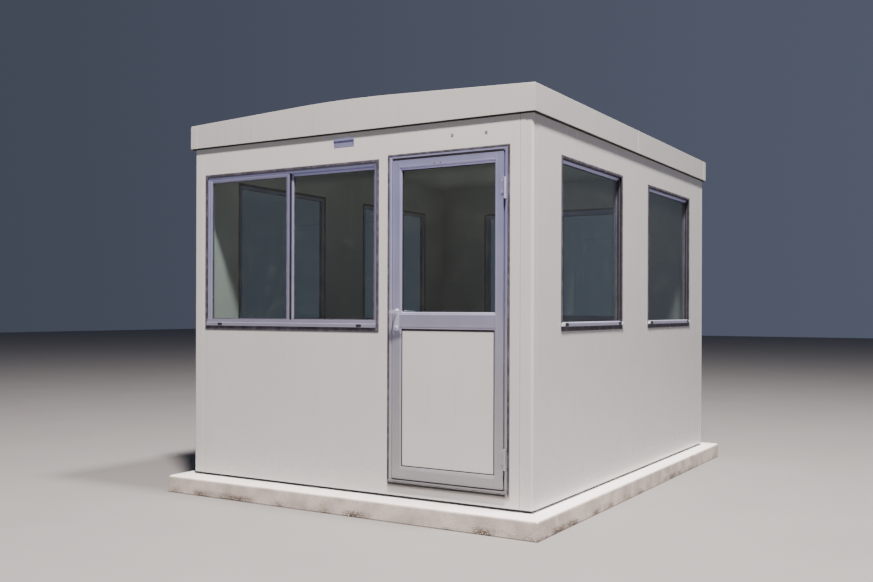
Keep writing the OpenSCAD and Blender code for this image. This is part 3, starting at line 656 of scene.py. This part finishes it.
def window_sill(place, turn, frame_node, face):
    """What stands in front of the frame's own face: the sill with its nose and drain slots."""
    sill = softened(frame_node, place + "_sill", 0.8 * MM, 2, in_front(face), turn)
    close(sill, LEVEL)
    mount(sill, "booth", turn, (frame_node,))


def drain_covers(place, turn, outline):
    """Hoods of black plastic, clipped over the sill's two drain slots, with a dished front. Their black is partly
    painted shade: the dark inside the slots.
    """
    face = outline[0].y
    middles = [Vector((x, face, outline[0].z + DRAIN_UP))
               for x in (outline[0].x + DRAIN_IN, outline[1].x - DRAIN_IN)]
    half = Vector((DRAIN_W / 2, 0, DRAIN_H / 2))
    hood = block("hood", middles[0] - half, middles[0] + half + Vector((0, DRAIN_D, 0)))
    pick_edges(hood, lambda a, b: abs(a.y - b.y) > 1 * MM)
    bpy.ops.mesh.bevel(offset=half.z - SLIVER, segments=6, affect="EDGES")
    pick_facing(hood)
    bpy.ops.mesh.inset(thickness=1 * MM, depth=2.4 * MM)
    bpy.ops.mesh.inset(thickness=2 * MM, depth=-1 * MM)
    close(hood, BLACK_PLASTIC_AND_SHADE)
    mount(repeat(place + "_drain_covers", hood, middles), "booth", turn)


def interlock_seal(place, turn, outer_sash, inner_sash):
    """The black brush seal that closes the slit where the two sashes pass each other."""
    low = Vector((outer_sash[1].x - SEAL_LAP, outer_sash[0].y + SEAL_W, outer_sash[0].z))
    high = Vector((outer_sash[1].x + SEAL_W, inner_sash[0].y - SEAL_GAP, outer_sash[1].z))
    seal = section(place + "_interlock_seal", low, high, BLACK_RUBBER_AND_SHADE, ease=0.8 * MM)
    mount(seal, "booth", turn)


def sliding_window(place, turn, sash_nodes):
    """A frame with two sashes that pass each other, the left one outside."""
    frame_node = place + "_frame"
    outline = solids(frame_node, turn)[0]
    drain_covers(place, turn, outline)
    face = outline[0].y + SILL_OUT + SLIDER_RECESS
    sashes = sorted((box for node in sash_nodes for box in solids(node, turn)),
                    key=lambda box: box[0].x)
    opening = (sashes[0][0], sashes[1][1])
    aluminium_frame(place + "_frame_sections", turn, deep(outline, face, outline[1].y), opening,
                    frame_node, SLIDER_SPLAY)
    window_sill(place, turn, frame_node, face)
    panes = solids(place + "_glass", turn)
    for side, sash, pane in zip(("left", "right"), sashes, panes):
        aluminium_frame(place + "_" + side + "_sash_sections", turn, sash, pane,
                        sash_nodes[0 if side == "left" else -1], SLIDER_SPLAY)
        glazing_gasket(place + "_" + side + "_gasket", turn, "booth", pane)
    interlock_seal(place, turn, *sashes)


def sill_ends(place, turn, outline):
    """Each end of a sill: a cap that also hides the corner of the rubber, pale as a painted highlight, and a black
    sleeve over the nose beside it, its black painted shade."""
    (x0, y0, z0), (x1, _, _) = outline
    start = x0 + CAP_LAP + SLEEVE_GAP
    sleeve = block("sleeve", (start, y0, z0 + SLEEVE_GAP), (start + SLEEVE_W, y0 + SILL_OUT, z0 + NOSE_H))
    pick_facing(sleeve)
    bpy.ops.mesh.inset(thickness=1.5 * MM, depth=SLEEVE_OUT)
    ease_edges(0.6 * MM)
    places = (Vector((start, y0, z0)), Vector((x0 + x1 - start - SLEEVE_W, y0, z0)))
    sleeves = repeat("sleeves", close(sleeve, BLACK_PLASTIC_AND_SHADE), places)
    foot = Vector((x0 + CAP_LAP - CAP_W, y0 - CAP_OUT, z0 + CAP_UP))
    cap = block("cap", foot, foot + Vector((CAP_W, CAP_D, CAP_H)))
    pick_facing(cap)
    bpy.ops.mesh.inset(thickness=2.5 * MM, depth=1.2 * MM)
    ease_edges(1 * MM)
    far_foot = Vector((x0 + x1 - foot.x - CAP_W, foot.y, foot.z))
    caps = repeat("caps", close(cap, PALE_HIGHLIGHT_PLASTIC), (foot, far_foot))
    mount(join(place + "_sill_ends", [sleeves, caps]), "booth", turn)


def fixed_windows(place, turn):
    """Two frames, each glazed with one pane, which a rubber wedge holds."""
    frame_node = place + "_frames"
    pairs = zip(("left", "right"), solids(frame_node, turn), solids(place + "_glass", turn))
    for side, outline, pane in pairs:
        face = outline[0].y + SILL_OUT + FIXED_RECESS
        aluminium_frame(place + "_" + side + "_frame_sections", turn, deep(outline, face, outline[1].y),
                        pane, frame_node, FIXED_SPLAY, BLACK_RUBBER_AND_SHADE)
        glazing_gasket(place + "_" + side + "_gasket", turn, "booth", pane)
        sill_ends(place + "_" + side, turn, outline)
    window_sill(place, turn, frame_node, face)


sliding_window("front_window", FRONT, ("front_left_sash", "front_right_sash"))
sliding_window("back_window", BACK, ("back_window_sashes",))
fixed_windows("right_window", RIGHT)
fixed_windows("left_window", LEFT)

SAME_WALL = 100 * MM  # nothing of another wall's windows starts this close behind a frame's face
for place, turn, frame_node in (
        ("front", FRONT, "front_window_frame"), ("right", RIGHT, "right_window_frames"),
        ("back", BACK, "back_window_frame"), ("left", LEFT, "left_window_frames")):
    frames = solids(frame_node, turn)
    face = min(box[0].y for box in frames)
    holes = [box for box in solids("window_rubbers", turn) if box[1].y < face + SAME_WALL]
    for number, (hole, frame_box) in enumerate(zip(holes, frames), 1):
        surround = rubber_surround(f"{place}_rubber_{number}", turn, hole, frame_box)
        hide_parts("window_rubbers")


# Door

LEAF_CHANNEL = (9 * MM, 1.2 * MM)
JAMB_SPLAY, RAIL_SPLAY = (10 * MM, 4 * MM), (7 * MM, 4 * MM)
# The gap round the leaf, how far the frame's step stands out, and how the stop and its seal reach
# behind the leaf
LEAF_GAP, STEP_OUT = 7 * MM, 15 * MM
STOP_LAP, STOP_T = 8 * MM, 12 * MM
STOP_SEAL_LAP, STOP_SEAL_T = 3 * MM, 5 * MM
STRIP_IN, STRIP_LOW, STRIP_HIGH = 2 * MM, 3 * MM, 14 * MM
STRIP_OUT, STRIP_SUNK = 1.2 * MM, 2 * MM
HEAD_STRIP_LOW, HEAD_STRIP_LAP, HEAD_STRIP_IN, HEAD_STRIP_D = 1 * MM, 8 * MM, 0.3 * MM, 14 * MM
BEAD_W, BEAD_FLAT, BEAD_IN = 11 * MM, 3 * MM, 4 * MM
BEAD_FALL = 0.6  # the share of a bead's depth that its splay falls
GLASS_GASKET_W, PANEL_GASKET_W = 4 * MM, 6 * MM
FLAP_H, FLAP_OUT, FLAP_RUN, FLAP_FALL = 12 * MM, 3.5 * MM, 9.6 * MM, 2.5 * MM

leaf = solids("door_leaf")[0]
door_outline = solids("door_frame")[0]
door_face = door_outline[0].y + STEP_OUT
door_outline = deep(door_outline, door_face, door_outline[1].y)
door_pane = solids("door_glass")[0]
door_infill = solids("door_panel")[0]
panel_beads, glass_beads = solids("door_beads")


def door_surround():
    """The door's frame with the stop that the leaf shuts against, its seal, and the wall's edging."""
    step = softened("door_frame", "threshold_nose", 0.8 * MM, 2, in_front(door_face))
    close(step, DARK_THRESHOLD_METAL)
    mount(step, "booth", FRONT, ("door_frame",))
    nose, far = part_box("door_frame")[0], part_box("door_frame")[1].x
    # A black strip along the threshold: painted shade for the dark gap under the leaf
    flat_bar = section("threshold_shade_strip", (nose.x + STRIP_IN, nose.y - STRIP_OUT, nose.z + STRIP_LOW),
                   (far - STRIP_IN, nose.y + STRIP_SUNK, nose.z + STRIP_HIGH), BLACK_RUBBER_AND_SHADE,
                   ease=0.6 * MM)
    mount(flat_bar, "booth")
    reveal = shrunk(leaf, -LEAF_GAP)
    stop_front = door_outline[1].y - STOP_T
    jambs = mitred_ring("jambs", door_outline, reveal, UPRIGHT, LEVEL, FRAME_CHANNEL, (1,),
                        splay=JAMB_SPLAY)
    stop = mitred_ring("stop", deep(reveal, stop_front, door_outline[1].y), shrunk(leaf, STOP_LAP),
                       UPRIGHT, LEVEL)
    sections = join("door_frame_sections", [jambs, stop])
    mount(sections, "booth", FRONT, ("door_frame",))
    seal = mitred_ring("stop_seal", deep(reveal, stop_front - STOP_SEAL_T, stop_front),
                       shrunk(leaf, STOP_SEAL_LAP), RUBBER, RUBBER, ease=1.5 * MM)
    mount(seal, "booth")
    edging = rubber_surround("door_rubber", FRONT, solids("door_seal")[0], door_outline)
    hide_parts("door_seal")
    (x0, _, _), (x1, _, top) = leaf
    # A black strip in the gap over the leaf: painted shade for the dark gap at its head
    strip = section("head_shade_strip", (x0, door_face + HEAD_STRIP_IN, top + HEAD_STRIP_LOW),
                    (x1, door_face + HEAD_STRIP_D, top + LEAF_GAP + HEAD_STRIP_LAP), BLACK_RUBBER_AND_SHADE,
                    ease=0.8 * MM)
    mount(strip, "booth")


def door_leaf():
    """Stiles that run through, with three rails between them, each a section with a shallow channel."""
    (x0, y0, z0), (x1, y1, z1) = leaf
    parts = [section("stile", (low, y0, z0), (high, y1, z1), UPRIGHT, (), LEAF_CHANNEL, (-1, 1), 1.2 * MM)
             for low, high in ((x0, door_pane[0].x), (door_pane[1].x, x1))]
    up, down = Vector((0, 0, 1)), Vector((0, 0, -1))
    rails = ((z0, door_infill[0].z, (up,)), (door_infill[1].z, door_pane[0].z, (up, down)),
             (door_pane[1].z, z1, (down,)))
    for low, high, sides in rails:
        cuts = [splay_cut(Vector((0, y0, high if side is up else low)), side, RAIL_SPLAY)
                for side in sides]
        parts.append(section("rail", (door_pane[0].x, y0, low), (door_pane[1].x, y1, high), LEVEL, cuts,
                             LEAF_CHANNEL, (-1, 1), 0.8 * MM))
    mount(join("door_leaf_sections", parts), "door", FRONT, ("door_leaf",))
    outer = [mitred_ring("beads", box, shrunk(box, BEAD_W), UPRIGHT, LEVEL, ease=0.4 * MM,
                         splay=(BEAD_W - BEAD_FLAT, BEAD_FALL * (box[1].y - box[0].y)))
             for box in (glass_beads, panel_beads)]
    mount(join("outer_beads", outer), "door", FRONT, ("door_beads",))
    backs = [deep(box, sheet[1].y, y1 - BEAD_IN)
             for box, sheet in ((glass_beads, door_pane), (panel_beads, door_infill))]
    inner = [mitred_ring("beads", box, shrunk(box, BEAD_W), UPRIGHT, LEVEL, ease=2 * MM) for box in backs]
    mount(join("inner_beads", inner), "door")
    for name, sheet, width in (("door_gasket", door_pane, GLASS_GASKET_W),
                               ("panel_gasket", door_infill, PANEL_GASKET_W)):
        glazing_gasket(name, FRONT, "door", shrunk(sheet, BEAD_W), width, BLACK_RUBBER_AND_SHADE)
    # A black flap at the panel's head, under the mid rail: painted shade for the rail's shadow on the panel
    low, high = shrunk(door_infill, BEAD_W)
    lip = Vector((low.x, low.y - FLAP_OUT, high.z - FLAP_H))
    shade_flap = section("panel_head_shade_flap", lip, (high.x, low.y, high.z), BLACK_RUBBER_AND_SHADE,
                   [splay_cut(lip, down, (FLAP_RUN, FLAP_FALL))], ease=0.3 * MM)
    mount(shade_flap, "door")


door_surround()
door_leaf()


# Ironmongery

PIVOTS = {row["name"]: Vector(row["pos_m"]) for row in frame["joints"]}
PIN, SPINDLE = PIVOTS["door_hinge"], PIVOTS["handle_turn"]
KNUCKLE_REACH = 8 * MM
HINGE_SCREW_IN, HINGE_SCREW_BACK, HINGE_SCREW_RISES = 24 * MM, 9 * MM, (-17 * MM, 47 * MM)
# The thickness of a lock plate, and how far its boss stands off the leaf and lies below the spindle
PLATE_T, BOSS_OUT, KEY_DROP = 4 * MM, 7 * MM, 96 * MM
KEYWAY_W, KEYWAY_OUT, KEYWAY_DOWN, KEYWAY_UP = 1.8 * MM, 1.4 * MM, 4 * MM, 3 * MM
THUMB_W, THUMB_H, THUMB_FOOT, THUMB_OUT, THUMB_ROUND = 8 * MM, 22 * MM, 2 * MM, 17 * MM, 4 * MM
PLATE_SCREWS = (0.28, 0.72)  # shares of the way from the cylinder up to the spindle
METAL = FINISHES["hardware"]


def hinge_castings(node, name, body):
    """Hinge halves with anodised plates and paler, turned knuckles."""
    halves = close(softened(node, name, 0.5 * MM), UPRIGHT)
    part_finish(halves, SLEEVE, lambda face: (face.center - PIN).xy.length < KNUCKLE_REACH)
    mount(halves, body, FRONT, (node,))


def screws(name, body, places, radius, out=(0, -1, 0), finish=METAL):
    """Pan-head screws driven home, each a domed head with a round recess for the driver. Every
    measure of a head is a share of its radius."""
    head = turned_disc("head", places[0], out, radius, 0.42 * radius, 0.28 * radius, sides=24)
    pick_facing(head, out, 0.99)
    bpy.ops.mesh.inset(thickness=0.26 * radius)
    bpy.ops.mesh.inset(thickness=0.08 * radius, depth=-0.3 * radius)
    close(head, finish)
    return mount(repeat(name, head, places), body)


def lock_details():
    """The lock cylinder with its keyway outside and its thumb-turn inside, and the plates' screws."""
    x, z = SPINDLE.x, SPINDLE.z - KEY_DROP
    front, back = leaf[0].y - BOSS_OUT, leaf[1].y + BOSS_OUT
    core = turned_disc("lock_core", (x, front, z), (0, -1, 0), radius=6.2 * MM, height=1.2 * MM,
                       edge=0.4 * MM)
    mount(close(core, METAL), "door")
    # The keyway is a block of black plastic: painted shade for the dark of its slot
    keyway = block("keyway", (x - KEYWAY_W / 2, front - KEYWAY_OUT, z - KEYWAY_DOWN),
                   (x + KEYWAY_W / 2, front, z + KEYWAY_UP))
    pick_facing(keyway)
    bpy.ops.mesh.inset(thickness=0.3 * MM, depth=-0.8 * MM)
    mount(close(keyway, BLACK_PLASTIC_AND_SHADE), "door")
    base = turned_disc("base", (x, back, z), (0, 1, 0), radius=7.5 * MM, height=3 * MM, edge=0.8 * MM)
    close(base, METAL)
    flat_bar = block("flat_bar", (x - THUMB_W / 2, back + THUMB_FOOT, z - THUMB_H / 2),
                 (x + THUMB_W / 2, back + THUMB_OUT, z + THUMB_H / 2))
    outer_edge = back + THUMB_OUT - 1 * MM
    pick_edges(flat_bar, lambda a, b: min(a.y, b.y) > outer_edge and abs(a.z - b.z) < 1 * MM)
    bpy.ops.mesh.bevel(offset=THUMB_ROUND, segments=4, affect="EDGES")
    ease_edges(0.8 * MM)
    mount(join("thumb_turn", [base, close(flat_bar, METAL)]), "door")
    heights = [z + share * KEY_DROP for share in PLATE_SCREWS]
    for name, y, out in (("outer_plate_screws", leaf[0].y - PLATE_T, (0, -1, 0)),
                         ("inner_plate_screws", leaf[1].y + PLATE_T, (0, 1, 0))):
        screws(name, "door", [(x, y, height) for height in heights], 3.4 * MM, out)


def hinge_screws():
    """Two screws through the leaf's plate of each hinge, clear of the knuckle."""
    middles = [(box[0].z + box[1].z) / 2 for box in solids("hinge_frame_halves")]
    places = [(PIN.x - HINGE_SCREW_IN, PIN.y + HINGE_SCREW_BACK, middle + rise)
              for middle in middles for rise in HINGE_SCREW_RISES]
    screws("hinge_screws", "door", places, 3 * MM)


for node, name, body, radius, segments in (("lock_plates", "lock_plate_castings", "door", 1.2 * MM, 2),
                                           ("door_handle", "lever_castings", "handle", 2.5 * MM, 3)):
    mount(softened(node, name, radius, segments), body, FRONT, (node,))
hinge_castings("hinge_frame_halves", "hinge_frame_castings", "booth")
hinge_castings("hinge_leaf_halves", "hinge_leaf_castings", "door")
lock_details()
hinge_screws()


# The body's own edges

# The black strip under the fascia, painted shade for the dark line there: its height, how far it stands off the
# posts, and what is pressed in
SHADE_STRIP_H, SHADE_STRIP_OUT, SHADE_STRIP_IN = 8 * MM, 14 * MM, 1 * MM


def eased(nodes, radius):
    """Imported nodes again, with the rounded arrises of a moulding or a casting."""
    for node in nodes:
        piece = close(softened(node, node + "_eased", radius, 3), FINISHES[SLOTS[node]])
        mount(piece, "booth", FRONT, (node,))


eased([f"fascia_{side}" for side in ("front", "back", "right", "left", "corners")] + ["roof_joint_cap"],
      3 * MM)
eased([f"corner_post_{end}_{side}" for end in ("front", "back") for side in ("left", "right")], 3.5 * MM)
eased(["plinth"], 7 * MM)


def fascia_shade_strip():
    """A black strip in the slit between the walls and the fascia's lower edge: painted shade for the dark line
    under the fascia.
    """
    (x0, y0, _), (x1, y1, _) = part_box("corner_post_front_left")[0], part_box("corner_post_back_right")[1]
    low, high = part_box("fascia_front")[0].z - SHADE_STRIP_H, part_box("fascia_front")[0].z + SHADE_STRIP_IN
    strips = [section("dark_strip", start, end, BLACK_RUBBER_AND_SHADE, ease=2 * MM) for start, end in (
        ((x0 - SHADE_STRIP_OUT, y0 - SHADE_STRIP_OUT, low), (x1 + SHADE_STRIP_OUT, y0 + SHADE_STRIP_IN, high)),
        ((x0 - SHADE_STRIP_OUT, y1 - SHADE_STRIP_IN, low), (x1 + SHADE_STRIP_OUT, y1 + SHADE_STRIP_OUT, high)),
        ((x0 - SHADE_STRIP_OUT, y0, low), (x0 + SHADE_STRIP_IN, y1, high)),
        ((x1 - SHADE_STRIP_IN, y0, low), (x1 + SHADE_STRIP_OUT, y1, high)))]
    mount(join("fascia_shade_strip", strips), "booth")


fascia_shade_strip()


# Fittings on the front

# Places on the front, across it and above the floor, in metres
PLATE_LEFT, PLATE_RIGHT, PLATE_FOOT, PLATE_TOP = -0.096, 0.067, 2.374, 2.428
PLUGS = ((0.804, 2.377), (1.039, 2.374))
RAIL_SCREWS = ((0.682, 2.219), (0.727, 2.219))
PLATE_OUT, PLATE_RAIL_H, PLATE_RAIL_OUT, RIVET_IN = 1.5 * MM, 14 * MM, 7 * MM, 9 * MM


def bare_plate():
    """The plate over the front window, left bare: thin sheet with a rolled rim and a rivet each
    end, which hangs from a rail."""
    low = Vector((PLATE_LEFT, WALL_FACE - PLATE_OUT, PLATE_FOOT))
    high = Vector((PLATE_RIGHT, WALL_FACE, PLATE_TOP))
    plate = block("bare_plate", low, high)
    pick_edges(plate, lambda a, b: abs(a.y - b.y) > 1 * MM)
    bpy.ops.mesh.bevel(offset=5 * MM, segments=4, affect="EDGES")
    pick_facing(plate)
    bpy.ops.mesh.inset(thickness=0.6 * MM, depth=0.4 * MM)
    bpy.ops.mesh.inset(thickness=2.5 * MM)
    bpy.ops.mesh.inset(thickness=0.6 * MM, depth=-0.8 * MM)
    mount(close(plate, LEVEL), "booth")
    rail = section("plate_rail", (low.x, WALL_FACE - PLATE_RAIL_OUT, high.z - PLATE_RAIL_H), high, LEVEL,
                   ease=1.5 * MM)
    mount(rail, "booth")
    middle = (low.z + high.z - PLATE_RAIL_H) / 2
    places = [(x, low.y, middle) for x in (low.x + RIVET_IN, high.x - RIVET_IN)]
    screws("plate_rivets", "booth", places, 4 * MM, finish=GREY_PLASTIC)


def wall_plugs():
    """Two grey plugs that close holes over the door, each a domed cap with a rim."""
    places = [(x, WALL_FACE, z) for x, z in PLUGS]
    plug = turned_disc("plug", places[0], (0, -1, 0), radius=10 * MM, height=2.4 * MM, edge=1.6 * MM)
    pick_facing(plug, least=0.99)
    bpy.ops.mesh.inset(thickness=2 * MM)
    bpy.ops.mesh.inset(thickness=0.5 * MM, depth=-0.8 * MM)
    close(plug, GREY_PLASTIC)
    mount(repeat("wall_plugs", plug, places), "booth")


bare_plate()
wall_plugs()
screws("top_rail_screws", "door", [(x, leaf[0].y, z) for x, z in RAIL_SCREWS], 5.5 * MM,
       finish=GREY_PLASTIC)


# Camera: the photograph's station, measured from the foot of the front right corner

CAMERA_STEP = Vector((2.426, -5.115, 1.168))
CAMERA_TURN, CAMERA_ROLL = math.radians(31.06), math.radians(0.17)
SENSOR_W, FOCAL_LENGTH = 36.0, 39.95  # in millimetres
LENS_RISE = 0.0223  # in sensor widths: it puts the horizon where the photograph has it

lens = bpy.data.cameras.new("portrait_camera")
lens.sensor_width, lens.lens, lens.shift_y = SENSOR_W, FOCAL_LENGTH, LENS_RISE
camera = bpy.data.objects.new("portrait_camera", lens)
bpy.context.scene.collection.objects.link(camera)
camera.matrix_world = (Matrix.Translation(CORNER + CAMERA_STEP) @ Matrix.Rotation(CAMERA_TURN, 4, "Z")
                       @ Matrix.Rotation(math.pi / 2, 4, "X") @ Matrix.Rotation(CAMERA_ROLL, 4, "Z"))
bpy.context.scene.camera = camera


# Floor and light

FLOOR_SIZE = 90  # metres
LAMP_AIM = Vector((0, 0, 1.2))  # the booth's middle
# The world is brightest towards BRIGHT_SIDE
BRIGHT_SIDE, DIM_AIR, BRIGHT_AIR = (0.55, 0.83, 0.1), 0.11, 0.18


def studio_floor():
    """A plain pale floor, rolled smooth."""
    deselect()
    bpy.ops.mesh.primitive_plane_add(size=FLOOR_SIZE)
    floor = bpy.context.object
    floor.name = "studio_floor"
    material, tree, mm = new_finish("studio_floor")
    tone = add(tree, "TexNoise", {"Vector": mm, "Scale": 1 / 900})
    colour = add(tree, "Mix", {FACTOR: tone, FIRST: "#807F80", SECOND: "#888788"}, **COLOUR)
    add(tree, "OutputMaterial", {"Surface": add(tree, "BsdfPrincipled", {
        "Base Color": colour, "Roughness": 0.8})})
    floor.data.materials.append(material)


def soft_lamp(name, turn, height, distance, size, power, tint):
    """A square lamp that shines on the booth's middle, from turn degrees right of the front's own
    direction and height degrees above the floor."""
    turn, height = math.radians(turn), math.radians(height)
    from_booth = Vector((math.sin(turn) * math.cos(height), -math.cos(turn) * math.cos(height),
                         math.sin(height)))
    lamp = bpy.data.lights.new(name, "AREA")
    lamp.size, lamp.energy = size, power
    lamp.color = linear(tint)[:3]
    holder = bpy.data.objects.new(name, lamp)
    holder.location = LAMP_AIM + from_booth * distance
    holder.rotation_euler = from_booth.to_track_quat("Z", "Y").to_euler()
    bpy.context.scene.collection.objects.link(holder)


def studio_air():
    """Soft light from all round: brightest behind the booth's right side, dimmer in front of it."""
    world = bpy.data.worlds.new("studio_air")
    world.use_nodes = True
    bpy.context.scene.world = world
    tree = world.node_tree
    tree.nodes.clear()
    place = add(tree, "TexCoord")
    side = add(tree, "VectorMath", {
        0: place.outputs["Generated"], 1: BRIGHT_SIDE}, operation="DOT_PRODUCT")
    share = add(tree, "MapRange", {
        "Value": side.outputs["Value"], "From Min": -0.2,
        "To Min": DIM_AIR, "To Max": BRIGHT_AIR}, **SMOOTH)
    glow = add(tree, "Background", {"Color": "#BFCBEE", "Strength": share})
    add(tree, "OutputWorld", {"Surface": glow})


studio_floor()
soft_lamp("key_lamp", turn=33, height=57, distance=13, size=1.0, power=5000, tint="#FFF3EA")
soft_lamp("top_lamp", turn=76, height=70, distance=13, size=1.2, power=2700, tint="#FFF6EE")
studio_air()
